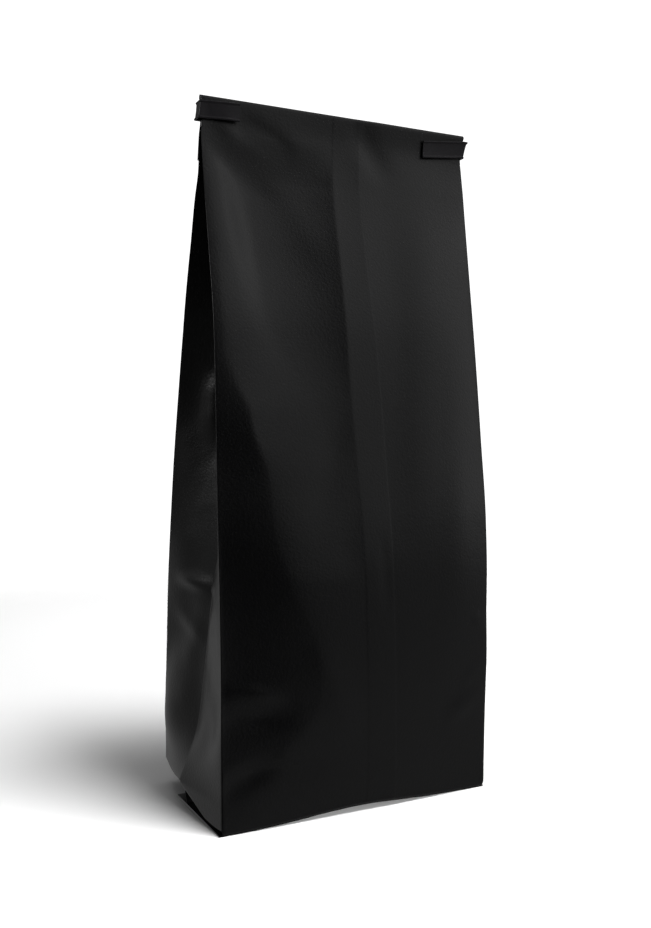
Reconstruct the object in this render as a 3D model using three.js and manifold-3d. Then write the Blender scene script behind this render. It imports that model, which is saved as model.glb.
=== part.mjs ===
// A side-gusset pouch standing on its opened base, with its seam side towards -Y.
// The mouth is pressed flat, folded over once towards +Y and held by a flat tin tie
// whose two ends are bent round the edges of the bag onto the seam side.
// Millimetres, +Z up. The origin is on the floor under the middle of the opened base.

import * as THREE from "three";
import { mergeVertices } from "three/addons/utils/BufferGeometryUtils.js";
import Module from "manifold-3d";

const wasm = await Module();
wasm.setup();

// ---------------------------------------------------------------- driving sizes

const HEIGHT = 313.9; // floor to the top fold
const FLAP_FOOT = 286; // lower edge of the folded-over mouth; the pleats shut here
const SHUT_THICKNESS = 1.6; // pressed layers under the flap
const FLAP_THICKNESS = 1.3; // layers of the flap itself
const PRESSED_RAMP = 14; // height over which the layers close above FLAP_FOOT
const EDGE_ROUND = 0.8; // how far a pressed edge rounds outwards
const NEAR_BULGE = 8; // how far the filled panels belly out
const FAR_BULGE = 7;

// Profiles up the bag: [height, value] stations joined by smooth curves.
const LEFT_REACH = [ // from the middle plane out to the left and right edge creases
  [0, 66.6], [100, 67.05], [125, 67.3], [160, 67.6], [235, 67.5], [285, 67.15], [297, 67.3],
  [306, 66.6], [313, 67.1],
];
const RIGHT_REACH = [
  [0, 67.3], [21, 67.4], [42, 67.7], [62, 68.1], [85, 67.6], [108, 68],
  [140, 67.7], [285, 67.9], [296, 67.8], [303, 67.4], [308, 67.4], [313, 68.5],
];
const NEAR_LEFT_Y = [
  [0, -42], [60, -42], [100, -41.1], [155, -39], [211, -36],
  [250, -28.9], [276, -22.9], [290, -20.5], [313, -19.7],
];
const NEAR_RIGHT_Y = [
  [0, -39.5], [42, -40.1], [85, -41], [128, -40], [166, -35.8],
  [204, -31.1], [243, -25.5], [283, -19.9], [302, -17.6], [313, -19.7],
];
const MOUTH_GAP = [ // from a near edge crease to the far edge crease behind it
  [0, 77.5], [14, 77], [60, 75.2], [100, 70.5], [118, 66.9], [147, 60],
  [184, 50.1], [220, 38.4], [254, 21.7], [271, 12.9], [282, 6.2], [286, 4.9],
];
const PLEAT_DEPTH = [ // how far the gusset's middle fold lies inside the edge creases
  [13, -5.4], [24, -0.8], [38, 3.9], [60, 6.7], [103, 11.3],
  [147, 21], [184, 29], [220, 34], [254, 37], [286, 39.2],
];
const BELLY = [ // share of the bulge
  [0, 0.12], [20, 0.45], [60, 0.85], [107, 0.95], [149, 0.65], [185, 0.42], [240, 0.2], [280, 0],
];
const PLEAT_MIDDLE_SHIFT = 1.5; // the middle fold sits a little beyond the halfway line
const GUSSET_BOW = 1.6; // outward bow of each half of a gusset, where it stands open

// The raised back seam, folded flat onto the near panel.
const SEAM_HEIGHT = 0.35;
const SEAM_SIDE = 0.5; // width of the slope at each side of it
const SEAM_LEFT_X = [[14, 1.7], [75, -1.3], [121, -2.6], [189, -4.6], [258, -4.8], [312, -3.4]];
const SEAM_RIGHT_X = [[12, 16.7], [62, 13.9], [120, 12.3], [189, 11.1], [259, 9], [312, 11.3]];

// The base: two folded-in strips that meet in a seal fin, which is folded to +Y.
const STRIP_THICKNESS = 0.8;
const STRIP_LAP = 0.4; // how far the body sinks into the strips
const STRIP_INSET = 0.2; // the strips end just inside the bottom folds
const STRIP_HALF_WIDTH = 67.5;
const FIN_TIP_Y = 14.3;
const FAR_STRIP_START_Y = 0.6;
const BASE_ARCH = 2.7; // the middle of the near bottom fold stands off the floor
const BASE_ARCH_WIDTH = 34;
const BASE_ARCH_REACH = 20;
const NEAR_CORNER_LIFT = 0.25;
const FAR_FOLD_LIFT = 4; // the far bottom fold, at its middle
const FAR_CORNER_LIFT = 12; // and at its two corners
const FAR_CURVE = 2.4; // how late the far strip curves up
const CORNER_CURVE = 4; // how close to its corners the far fold rises
const POCKET_REACH = 38; // how far the corner pockets go in under the gussets
const GUSSET_FOOT = [ // [share round the gusset, height] of its lower edge; the fold is at 1
  [0, 2.6], [0.11, 2.5], [0.36, 3.7], [0.57, 5.6], [0.785, 8.2],
  [0.93, 10.6], [1, 12.4], [1.3, 11.3], [1.6, 11.1], [2, 12.4],
];

// The tin tie.
const TIE_WIRE = 1.1; // thickness over the two wires
const TIE_WEB = 0.6; // thickness between them
const TIE_GAP = 0.35; // clearance between the tie and the bag
const TIE_FACE = [ // lower half of one face: [share of the wires' thickness, height]
  [0.6, -4], [1, -3.5], [0.9, -2.9], [TIE_WEB / TIE_WIRE, -2.4],
];
const TIE_LEFT_SLACK = 0.45; // how much further its two bends stand off the bag's edges,
const TIE_RIGHT_SLACK = 0.6;
const TIE_LEFT_LEAN = -0.15; // and how much of that each millimetre of height adds
const TIE_RIGHT_LEAN = 0.14;
const TIE_BEND_INSET = 2; // the bends start this far inside the edges
const TIE_LEFT_Z = 307.1; // height of the tie's middle at its left and right bends
const TIE_RIGHT_Z = 306.8;
const TIE_LEFT_END_X = -49.9; // inner ends of the two bent tabs
const TIE_RIGHT_END_X = 44.7;
const TIE_LEFT_RISE = 0.03; // slopes of the two tabs towards +X
const TIE_RIGHT_RISE = 0.11;
const TIE_LEFT_LIFT = 0.15; // how far the tabs' inner ends stand off the bag
const TIE_RIGHT_LIFT = 0.45;

// ---------------------------------------------------------------- mesh fineness

const EDGE_COLUMNS = 6; // columns over each pocket, and over each half of a gusset
const MIDDLE_COLUMNS = [4, 1, 2, 1, 3]; // left of the seam, slope, seam, slope, right of it
const LEVELS = [
  0, 3, 7, 12, 18, 26, 36, 48, 62, 78, 96, 114, 132, 150, 168,
  186, 204, 222, 240, 256, 270, 280, 285.6, 286.4, 294, 300, 304, 308,
];
const LIFT_FADE = 60; // the foot's shape has died out at this height
const TOP_ARC_DEGREES = [0, 30, 55, 75];
const TIE_BEND_STEPS = 10;
const TIE_RUN_STEPS = 14;
const TIE_TAB_STEPS = 4;
const STRIP_STEPS = [24, 12]; // along and across each base strip

// ---------------------------------------------------------------- small maths

const { lerp, clamp, smoothstep, degToRad } = THREE.MathUtils;

const arch = (t) => 4 * t * (1 - t); // 0 at both ends of a run from 0 to 1, 1 in its middle

function slopes(stations) {
  // Tangents that never overshoot: the harmonic mean of the slopes on both sides.
  const steps = stations.slice(1).map(([z, v], i) => (v - stations[i][1]) / (z - stations[i][0]));
  return stations.map((_, i) => {
    if (i === 0) return steps[0];
    if (i === stations.length - 1) return steps[i - 1];
    const [a, b] = [steps[i - 1], steps[i]];
    return a * b > 0 ? (2 * a * b) / (a + b) : 0;
  });
}

function profile(stations) {
  const tangents = slopes(stations);
  const last = stations.length - 1;
  return (z) => {
    if (z <= stations[0][0]) return stations[0][1];
    if (z >= stations[last][0]) return stations[last][1];
    const i = stations.findIndex(([height]) => height > z) - 1;
    const [z0, v0] = stations[i];
    const [z1, v1] = stations[i + 1];
    const span = z1 - z0;
    const t = (z - z0) / span;
    const rise = tangents[i] * span;
    const run = tangents[i + 1] * span;
    return v0 + t * (rise + t * (3 * (v1 - v0) - 2 * rise - run + t * (2 * (v0 - v1) + rise + run)));
  };
}

const leftReach = profile(LEFT_REACH);
const rightReach = profile(RIGHT_REACH);
const nearLeftY = profile(NEAR_LEFT_Y);
const nearRightY = profile(NEAR_RIGHT_Y);
const mouthGap = profile(MOUTH_GAP);
const pleatDepth = profile(PLEAT_DEPTH);
const belly = profile(BELLY);
const seamLeftX = profile(SEAM_LEFT_X);
const seamRightX = profile(SEAM_RIGHT_X);
const gussetFoot = profile(GUSSET_FOOT);

// ---------------------------------------------------------------- surfaces of the bag

const isShut = (z) => z > FLAP_FOOT;

// Distance of the edge creases from the middle plane, on the side that x lies on.
const reach = (x, z) => (x < 0 ? leftReach(z) : rightReach(z));

// Depth of the bag between its edge creases; under the flap it closes to pressed layers.
function depthAt(z) {
  if (!isShut(z)) return mouthGap(z);
  const pressed = clamp((z - FLAP_FOOT) / PRESSED_RAMP, 0, 1);
  return lerp(mouthGap(FLAP_FOOT), SHUT_THICKNESS, Math.sin((pressed * Math.PI) / 2)) + FLAP_THICKNESS;
}

function edgeY(x, z) {
  return lerp(nearLeftY(z), nearRightY(z), (x + leftReach(z)) / (leftReach(z) + rightReach(z)));
}

const crown = (x, z) => belly(z) * (1 - Math.min(1, (x / reach(x, z)) ** 2));

function seamRelief(x, z) {
  const inside = Math.min(x - seamLeftX(z), seamRightX(z) - x);
  return SEAM_HEIGHT * clamp(inside / SEAM_SIDE, 0, 1);
}

const nearY = (x, z) => edgeY(x, z) - NEAR_BULGE * crown(x, z) - seamRelief(x, z);
const farY = (x, z) => edgeY(x, z) + depthAt(z) + FAR_BULGE * crown(x, z);

// Plan position on a gusset. side is -1 or 1, share runs from the near crease (0)
// through the middle fold (1) to the far crease (2).
function gussetPoint(side, share, z) {
  const x = side * reach(side, z);
  const near = edgeY(x, z);
  const depth = depthAt(z);
  if (isShut(z)) {
    const round = Math.sin((share * Math.PI) / 2) * EDGE_ROUND;
    return [x + side * (round - EDGE_ROUND), near + (depth * share) / 2];
  }
  const toFold = share <= 1 ? share : 2 - share;
  const inward = pleatDepth(z) * toFold;
  const openness = depth / mouthGap(0);
  const bow = GUSSET_BOW * openness ** 2 * arch(toFold);
  const foldShare = share <= 1 ? share : share - 1;
  const foldY = near + depth / 2 + PLEAT_MIDDLE_SHIFT * openness;
  const y = share <= 1 ? lerp(near, foldY, foldShare) : lerp(foldY, near + depth, foldShare);
  return [x - side * (inward - bow), y];
}

// ---------------------------------------------------------------- the foot of the bag

const nearFoldLift = (x) => NEAR_CORNER_LIFT + BASE_ARCH * Math.exp(-((x / BASE_ARCH_WIDTH) ** 2));
const farFoldLift = (x) => lerp(FAR_FOLD_LIFT, FAR_CORNER_LIFT, Math.abs(x / reach(x, 0)) ** CORNER_CURVE);

// Underside of the near strip and of the fin: flat on the floor but for the arched fold.
function nearStripZ(x, y) {
  const fold = nearY(x, 0);
  return nearFoldLift(x) * (1 - smoothstep(y, fold, fold + BASE_ARCH_REACH));
}

// Underside of the far strip: lies on the fin, then curves up to the far bottom fold.
function farStripZ(x, y) {
  const share = clamp((y - FAR_STRIP_START_Y) / (farY(x, 0) - FAR_STRIP_START_Y), 0, 1);
  return lerp(STRIP_THICKNESS - STRIP_LAP / 2, farFoldLift(x), share ** FAR_CURVE);
}

// Height of the body's underside at (x, y), in the row that meets the gussets at the given
// share: on the strips in the middle, sloping up to the gussets over the corner pockets.
function undersideZ(x, y, share) {
  const rest = (share <= 1 ? nearStripZ(x, y) : farStripZ(x, y)) + STRIP_LAP;
  const pocket = POCKET_REACH * (share <= 1 ? share : 2 - share);
  const open = 1 - (reach(x, 0) - Math.abs(x)) / pocket;
  return lerp(rest, gussetFoot(share), clamp(open, 0, 1));
}

// ---------------------------------------------------------------- closed meshes

function solidFrom(points, triangles) {
  const geometry = new THREE.BufferGeometry();
  geometry.setAttribute("position", new THREE.Float32BufferAttribute(points.flat(), 3));
  geometry.setIndex(triangles.flat());
  const merged = mergeVertices(geometry, 1e-4);
  return new wasm.Manifold(new wasm.Mesh({
    numProp: 3,
    vertProperties: new Float32Array(merged.attributes.position.array),
    triVerts: new Uint32Array(merged.index.array),
  }));
}

function geometryFrom(solid) {
  const { numProp, vertProperties, triVerts } = solid.getMesh();
  const places = [];
  for (let i = 0; i < vertProperties.length; i += numProp) {
    places.push(vertProperties[i], vertProperties[i + 1], vertProperties[i + 2]);
  }
  const geometry = new THREE.BufferGeometry();
  geometry.setAttribute("position", new THREE.Float32BufferAttribute(places, 3));
  geometry.setIndex(Array.from(triVerts));
  geometry.computeVertexNormals();
  return geometry;
}

// Joins rings of points, bottom to top or start to end, with a band of triangles each.
function bands(ringCount, ringSize) {
  const triangles = [];
  for (let ring = 0; ring < ringCount - 1; ring += 1) {
    for (let i = 0; i < ringSize; i += 1) {
      const a = ring * ringSize + i;
      const b = ring * ringSize + ((i + 1) % ringSize);
      triangles.push([a, b, b + ringSize], [a, b + ringSize, a + ringSize]);
    }
  }
  return triangles;
}

// A thin closed sheet over a grid: place(u, v) gives its underside, u and v from 0 to 1.
function slab(uSteps, vSteps, thickness, place) {
  const points = [];
  for (const lift of [0, thickness]) {
    for (let v = 0; v <= vSteps; v += 1) {
      for (let u = 0; u <= uSteps; u += 1) {
        const [x, y, z] = place(u / uSteps, v / vSteps);
        points.push([x, y, z + lift]);
      }
    }
  }
  const at = (u, v) => v * (uSteps + 1) + u;
  const top = (uSteps + 1) * (vSteps + 1);
  const triangles = [];
  for (let v = 0; v < vSteps; v += 1) {
    for (let u = 0; u < uSteps; u += 1) {
      const [a, b, c, d] = [at(u, v), at(u + 1, v), at(u + 1, v + 1), at(u, v + 1)];
      triangles.push([a, c, b], [a, d, c], [a + top, b + top, c + top], [a + top, c + top, d + top]);
    }
  }
  const rim = [];
  for (let u = 0; u < uSteps; u += 1) rim.push(at(u, 0));
  for (let v = 0; v < vSteps; v += 1) rim.push(at(uSteps, v));
  for (let u = uSteps; u > 0; u -= 1) rim.push(at(u, vSteps));
  for (let v = vSteps; v > 0; v -= 1) rim.push(at(0, v));
  rim.forEach((a, i) => {
    const b = rim[(i + 1) % rim.length];
    triangles.push([a, b, b + top], [a, b + top, a + top]);
  });
  return solidFrom(points, triangles);
}

// ---------------------------------------------------------------- body of the bag

// x of a column across a panel at height z: even over the pockets, and lined up with
// the seam between them.
function panelColumns(z) {
  const round = isShut(z) ? EDGE_ROUND : 0;
  const left = round - leftReach(z);
  const right = rightReach(z) - round;
  const stops = [
    left + POCKET_REACH,
    seamLeftX(z),
    seamLeftX(z) + SEAM_SIDE,
    seamRightX(z) - SEAM_SIDE,
    seamRightX(z),
    right - POCKET_REACH,
  ];
  const columns = [];
  for (let i = 0; i < EDGE_COLUMNS; i += 1) columns.push(left + (POCKET_REACH * i) / EDGE_COLUMNS);
  MIDDLE_COLUMNS.forEach((count, part) => {
    for (let i = 0; i < count; i += 1) columns.push(lerp(stops[part], stops[part + 1], i / count));
  });
  for (let i = EDGE_COLUMNS; i >= 0; i -= 1) columns.push(right - (POCKET_REACH * i) / EDGE_COLUMNS);
  return columns;
}

const PANEL_STEPS = panelColumns(0).length - 1;
const GUSSET_STEPS = 2 * EDGE_COLUMNS;
const RING_SIZE = 2 * (PANEL_STEPS + GUSSET_STEPS);

// Heights on one column: the foot's own height fades out up to LIFT_FADE.
const risen = (level, foot) => level + foot * Math.max(0, 1 - level / LIFT_FADE);

// One turn round the bag, anticlockwise from above, starting at the near left crease.
// squeeze pulls both faces together, for the rounded top fold.
function ring(level, squeeze = 0) {
  const points = [];
  const columns = panelColumns(level);
  const inset = (y, x, z) => y + squeeze * (edgeY(x, z) + depthAt(z) / 2 - y);
  for (let i = 0; i < PANEL_STEPS; i += 1) {
    const z = risen(level, nearFoldLift(columns[i]) + STRIP_LAP);
    points.push([columns[i], inset(nearY(columns[i], z), columns[i], z), z]);
  }
  for (let i = 0; i < GUSSET_STEPS; i += 1) {
    const share = i / EDGE_COLUMNS;
    const z = risen(level, gussetFoot(share));
    const [x, y] = gussetPoint(1, share, z);
    points.push([x, inset(y, x, z), z]);
  }
  for (let i = PANEL_STEPS; i > 0; i -= 1) {
    const z = risen(level, farFoldLift(columns[i]) + STRIP_LAP);
    points.push([columns[i], inset(farY(columns[i], z), columns[i], z), z]);
  }
  for (let i = GUSSET_STEPS; i > 0; i -= 1) {
    const share = i / EDGE_COLUMNS;
    const z = risen(level, gussetFoot(share));
    const [x, y] = gussetPoint(-1, share, z);
    points.push([x, inset(y, x, z), z]);
  }
  return points;
}

// Index in a ring of the place at column i and gusset row j of the base grid, if on its rim.
function rimIndex(i, j) {
  if (j === 0) return i;
  if (i === PANEL_STEPS) return PANEL_STEPS + j;
  if (j === GUSSET_STEPS) return 2 * PANEL_STEPS + GUSSET_STEPS - i;
  if (i === 0) return RING_SIZE - j;
  return -1;
}

// The underside spans the lowest ring with a grid whose diagonals follow the pocket creases.
function underside(points) {
  const foot = points.slice(0, RING_SIZE);
  const corner = (i, j) => foot[rimIndex(i, j)];
  const index = [];
  for (let j = 0; j <= GUSSET_STEPS; j += 1) {
    index.push([]);
    for (let i = 0; i <= PANEL_STEPS; i += 1) {
      const onRim = rimIndex(i, j);
      if (onRim >= 0) {
        index[j].push(onRim);
        continue;
      }
      const [s, t] = [i / PANEL_STEPS, j / GUSSET_STEPS];
      const blend = (axis) => lerp(corner(i, 0)[axis], corner(i, GUSSET_STEPS)[axis], t)
        + lerp(corner(0, j)[axis], corner(PANEL_STEPS, j)[axis], s)
        - lerp(lerp(corner(0, 0)[axis], corner(PANEL_STEPS, 0)[axis], s),
          lerp(corner(0, GUSSET_STEPS)[axis], corner(PANEL_STEPS, GUSSET_STEPS)[axis], s), t);
      const x = lerp(corner(i, 0)[0], corner(i, GUSSET_STEPS)[0], t);
      const y = blend(1);
      index[j].push(points.length);
      points.push([x, y, undersideZ(x, y, j / EDGE_COLUMNS)]);
    }
  }
  const triangles = [];
  for (let j = 0; j < GUSSET_STEPS; j += 1) {
    for (let i = 0; i < PANEL_STEPS; i += 1) {
      const [a, b] = [index[j][i], index[j][i + 1]];
      const [d, c] = [index[j + 1][i], index[j + 1][i + 1]];
      const creaseRises = (i < PANEL_STEPS / 2) === (j < EDGE_COLUMNS);
      if (creaseRises) triangles.push([a, c, b], [a, d, c]);
      else triangles.push([a, d, b], [b, d, c]);
    }
  }
  return triangles;
}

function topCap(start) {
  const triangles = [];
  const near = (i) => start + i;
  const far = (i) => start + 2 * PANEL_STEPS + GUSSET_STEPS - i;
  for (let i = 0; i < PANEL_STEPS; i += 1) {
    triangles.push([near(i), near(i + 1), far(i + 1)], [near(i), far(i + 1), far(i)]);
  }
  for (let i = 1; i < GUSSET_STEPS; i += 1) {
    const right = start + PANEL_STEPS;
    const left = far(0);
    const leftNext = i + 1 === GUSSET_STEPS ? start : left + i + 1;
    triangles.push([right, right + i, right + i + 1], [left, left + i, leftNext]);
  }
  return triangles;
}

function bodySolid() {
  const points = LEVELS.flatMap((level) => ring(level));
  const radius = (SHUT_THICKNESS + FLAP_THICKNESS) / 2;
  for (const degrees of TOP_ARC_DEGREES) {
    const angle = degToRad(degrees);
    points.push(...ring(HEIGHT - radius + radius * Math.sin(angle), 1 - Math.cos(angle)));
  }
  const ringCount = LEVELS.length + TOP_ARC_DEGREES.length;
  const triangles = bands(ringCount, RING_SIZE);
  triangles.push(...topCap((ringCount - 1) * RING_SIZE));
  triangles.push(...underside(points));
  return solidFrom(points, triangles);
}

// ---------------------------------------------------------------- base strips and fin

// start and end give y at the strip's two long edges, for an x held inside the bag's edges.
function stripSolid(start, end, heightAt) {
  return slab(...STRIP_STEPS, STRIP_THICKNESS, (u, v) => {
    const x = lerp(-STRIP_HALF_WIDTH, STRIP_HALF_WIDTH, u);
    const held = clamp(x, -leftReach(0), rightReach(0));
    const y = lerp(start(held), end(held), v);
    return [x, y, heightAt(x, y)];
  });
}

const nearStripSolid = () => stripSolid(
  (x) => nearY(x, 0) + STRIP_INSET,
  () => FIN_TIP_Y,
  (x, y) => Math.max(0, nearStripZ(x, y) - NEAR_CORNER_LIFT),
);

const farStripSolid = () => stripSolid(
  () => FAR_STRIP_START_Y,
  (x) => farY(x, 0) - STRIP_INSET,
  farStripZ,
);

// ---------------------------------------------------------------- tin tie

// Places along the tie. Each has the height z of its middle and its turn, which runs from
// the near face (0) round an edge to the far face (1). Places on a bend have a side, the
// others an x, and lift is how far they stand off the bag beyond the tie's clearance.
function tiePlaces() {
  const places = [];
  const bendStart = (side, z) => side * (reach(side, z) - TIE_BEND_INSET);
  const bend = (side, z, from, to) => {
    for (let i = 0; i <= TIE_BEND_STEPS; i += 1) {
      places.push({ side, z, turn: lerp(from, to, i / TIE_BEND_STEPS) });
    }
  };
  const tab = (endX, side, z, rise, endLift) => {
    const found = [];
    for (let i = 0; i < TIE_TAB_STEPS; i += 1) {
      const x = lerp(endX, bendStart(side, z), i / TIE_TAB_STEPS);
      const lift = endLift * (1 - i / TIE_TAB_STEPS) ** 2;
      found.push({ x, z: z + rise * (x - side * reach(side, z)), turn: 0, lift });
    }
    return found;
  };
  places.push(...tab(TIE_LEFT_END_X, -1, TIE_LEFT_Z, TIE_LEFT_RISE, TIE_LEFT_LIFT));
  bend(-1, TIE_LEFT_Z, 0, 1);
  for (let i = 1; i < TIE_RUN_STEPS; i += 1) {
    const share = i / TIE_RUN_STEPS;
    const x = lerp(bendStart(-1, TIE_LEFT_Z), bendStart(1, TIE_RIGHT_Z), share);
    places.push({ x, z: lerp(TIE_LEFT_Z, TIE_RIGHT_Z, share), turn: 1, lift: 0 });
  }
  bend(1, TIE_RIGHT_Z, 1, 0);
  places.push(...tab(TIE_RIGHT_END_X, 1, TIE_RIGHT_Z, TIE_RIGHT_RISE, TIE_RIGHT_LIFT).reverse());
  return places;
}

// Middle of the tie's thickness at a place, at height z.
function tieCentre(place, z) {
  const stand = TIE_GAP + TIE_WIRE / 2;
  if (!place.side) {
    if (place.turn === 0) return [place.x, nearY(place.x, z) - stand - place.lift];
    return [place.x, farY(place.x, z) + stand];
  }
  const edge = reach(place.side, z);
  const bagX = place.side * (edge - EDGE_ROUND);
  const front = nearY(bagX, z) - stand;
  const back = farY(bagX, z) + stand;
  const radius = (back - front) / 2;
  const angle = place.turn * Math.PI;
  const slack = place.side < 0
    ? TIE_LEFT_SLACK + TIE_LEFT_LEAN * (z - place.z)
    : TIE_RIGHT_SLACK + TIE_RIGHT_LEAN * (z - place.z);
  const centreX = edge + stand + slack - radius;
  return [
    place.side * (centreX + radius * Math.sin(angle)),
    (front + back) / 2 - radius * Math.cos(angle),
  ];
}

// Outline of the tie's section: both faces, each mirrored from its lower half.
function tieSection() {
  const upper = TIE_FACE.map(([thick, height]) => [thick, -height]).reverse();
  const front = [...TIE_FACE, ...upper];
  return [...front, ...front.map(([thick, height]) => [-thick, height]).reverse()];
}

function tieSolid() {
  const places = tiePlaces();
  const section = tieSection();
  const middles = places.map((place) => new THREE.Vector2(...tieCentre(place, place.z)));
  const points = [];
  places.forEach((place, i) => {
    const before = middles[Math.max(0, i - 1)];
    const after = middles[Math.min(places.length - 1, i + 1)];
    const along = after.clone().sub(before).normalize();
    for (const [thick, height] of section) {
      const out = (thick * TIE_WIRE) / 2;
      const [x, y] = tieCentre(place, place.z + height);
      points.push([x - along.y * out, y + along.x * out, place.z + height]);
    }
  });
  const size = section.length;
  const last = (places.length - 1) * size;
  const triangles = bands(places.length, size);
  const contour = section.map(([thick, height]) => new THREE.Vector2(thick, height));
  for (const [a, b, c] of THREE.ShapeUtils.triangulateShape(contour, [])) {
    triangles.push([a, c, b], [last + a, last + b, last + c]);
  }
  return solidFrom(points, triangles);
}

// ---------------------------------------------------------------- scene graph

function piece(name, solid, material) {
  const mesh = new THREE.Mesh(geometryFrom(solid), material);
  mesh.name = name;
  return mesh;
}

const film = new THREE.MeshStandardMaterial({ color: 0x141416, roughness: 0.5, metalness: 0 });
const coatedTie = new THREE.MeshStandardMaterial({ color: 0x1b1a1e, roughness: 0.42, metalness: 0 });

const pouch = new THREE.Group();
pouch.add(piece("bag", bodySolid().add(nearStripSolid()).add(farStripSolid()), film));
pouch.add(piece("tin_tie", tieSolid(), coatedTie));

export default pouch;
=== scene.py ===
"""A black side-gusset pouch with a folded-over top and a flat tin tie.

The bag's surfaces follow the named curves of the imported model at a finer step, and add the
dents, rounded creases and lapped seam of real film. The gussets' lower edges stand a little
higher and straighter than in that model. Sizes are in millimetres up to the point where a
mesh is made, +Z is up and the seam side faces -Y. "Near" is the seam side, towards the
camera, and "far" the other side. Round a gusset, "share" runs from 0 at the near crease over
1 at the middle fold to 2 at the far crease.
"""

import math

import bpy
import numpy as np
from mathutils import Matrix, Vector


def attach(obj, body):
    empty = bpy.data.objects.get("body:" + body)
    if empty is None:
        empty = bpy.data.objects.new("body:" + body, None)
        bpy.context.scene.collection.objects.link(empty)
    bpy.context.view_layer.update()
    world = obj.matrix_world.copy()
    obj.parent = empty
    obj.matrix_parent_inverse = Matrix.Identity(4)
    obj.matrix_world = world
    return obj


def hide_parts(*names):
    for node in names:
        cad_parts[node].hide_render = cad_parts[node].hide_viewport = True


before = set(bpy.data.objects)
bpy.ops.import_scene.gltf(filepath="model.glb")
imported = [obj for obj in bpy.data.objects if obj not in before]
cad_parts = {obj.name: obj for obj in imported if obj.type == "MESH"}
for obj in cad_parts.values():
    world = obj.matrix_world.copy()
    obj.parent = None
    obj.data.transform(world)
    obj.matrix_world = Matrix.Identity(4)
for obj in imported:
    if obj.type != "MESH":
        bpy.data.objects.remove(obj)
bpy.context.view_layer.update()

MM = 0.001

# ---------------------------------------------------------------- driving sizes

HEIGHT = 313.9
PLEAT_SHUT = 299.5  # the open pleats end here, under the tie
SHUT_THICKNESS = 1.6
EDGE_ROUND = 0.8  # how far the pressed side edges are rounded in
EDGE_SQUARENESS = 0.25  # 1 is a half round, towards 0 a flat edge with tight corners
NEAR_BULGE = 8.0
FAR_BULGE = 7.0
CREASE_RADIUS = 0.7  # how far the rounding of an edge crease reaches
FOLD_GAP = 1.2  # reach of the middle fold's rounding, in crease radii
GUSSET_HALF = 39.0  # width of a gusset between a crease and its middle fold
GUSSET_BOW = 1.6
PLEAT_MIDDLE_SHIFT = 1.5

FLAP_FOOT = 286.0
FLAP_SHEET = 0.5
FLAP_OFFSET = 1.3  # outer face of the flap beyond the far panel
FLAP_SKIN = 0.06  # how much further out the finer sheet lies
FLAP_INSET = 0.48  # from the bag's side edges
FLAP_STAND = 0.5  # about how far its free lower edge stands off
FLAP_STAND_RISE = 9.0  # height above that edge over which it lies back
TOP_RADIUS = (SHUT_THICKNESS + FLAP_OFFSET) / 2
TOP_SWELL = (310.0, 312.4)  # heights over which the top fold gains the flap's thickness

# Profiles up the bag: (height, value) stations joined by smooth curves.
LEFT_REACH = [(0, 66.6), (100, 67.05), (125, 67.3), (160, 67.6), (235, 67.5), (285, 67.15),
              (297, 67.3), (306, 66.6), (313, 67.1)]
RIGHT_REACH = [(0, 67.3), (21, 67.4), (42, 67.7), (62, 68.1), (85, 67.6), (108, 68),
               (140, 67.7), (285, 67.9), (296, 67.8), (303, 67.4), (308, 67.4), (313, 68.5)]
NEAR_LEFT_Y = [(0, -42), (60, -42), (100, -41.1), (155, -39), (211, -36),
               (250, -28.9), (276, -22.9), (290, -20.5), (313, -19.7)]
NEAR_RIGHT_Y = [(0, -39.5), (42, -40.1), (85, -41), (128, -40), (166, -35.8),
                (204, -31.1), (243, -25.5), (283, -19.9), (302, -17.6), (313, -19.7)]
MOUTH_GAP = [(0, 77.5), (14, 77), (60, 75.2), (100, 70.5), (118, 66.9), (147, 60), (184, 50.1),
             (220, 38.4), (254, 21.7), (271, 12.9), (282, 6.2), (286, 4.9), (292, 3.5),
             (300, SHUT_THICKNESS)]
PLEAT_DEPTH = [(13, -5.4), (24, -0.8), (38, 3.9), (60, 6.7), (103, 11.3),
               (147, 21), (184, 29), (220, 34), (254, 37), (286, 39.2)]
BELLY = [(0, 0.12), (20, 0.45), (60, 0.85), (107, 0.95), (149, 0.65), (185, 0.42),
         (240, 0.2), (280, 0)]

# The near panel falls back from a soft diagonal knee to its left crease.
KNEE_X = [(26, -69.8), (36, -41.3), (46, -31.4), (56, -31), (81, -33), (107, -41.7), (132, -44.3),
          (149, -45.3), (166, -50.4), (178, -52.9), (190, -58.6), (202, -63)]
KNEE_STEEPNESS = [(30, 2.2), (47, 1.6), (57, 1.5), (68, 1.5), (107, 2), (149, 2.7), (172, 4.4),
                  (202, 5.1)]
KNEE_SOFTNESS = 0.06
KNEE_SHARPNESS = 1.5  # the higher, the less its corner is rounded
KNEE_APPEARS = 0.06  # share of the left half within which a knee shows fully
PLATEAU_FLATNESS = 3.5  # how early the left part levels out towards the middle

# The lapped seam: a thin raised band, over which the panel also falls back or comes forward.
SEAM_LEFT_X = [(14, 1.7), (75, -1.3), (121, -2.6), (189, -4.6), (258, -4.8), (312, -3.4)]
SEAM_RIGHT_X = [(12, 16.7), (62, 13.9), (120, 12.3), (189, 11.1), (259, 9), (312, 11.3)]
SEAM_STEP = 0.06
SEAM_SIDE = 0.5
SEAM_FALL = [(0, -0.37), (130, 0.4), (200, -0.3), (313, -0.75)]  # inwards, over its width
SEAM_FALL_REACH = 25.0  # over which the panel right of it recovers

# The valley left of the seam: how deep it is and where its bottom lies.
VALLEY_DEPTH = [(105, 0), (120, 0.6), (150, 0.7), (180, 1.6), (215, 4.1), (250, 5.1), (280, 4.3),
                (300, -0.3), (313, 0)]
VALLEY_X = [(120, -13.4), (170, -19.9), (230, -41.8), (300, -44.4)]

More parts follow.
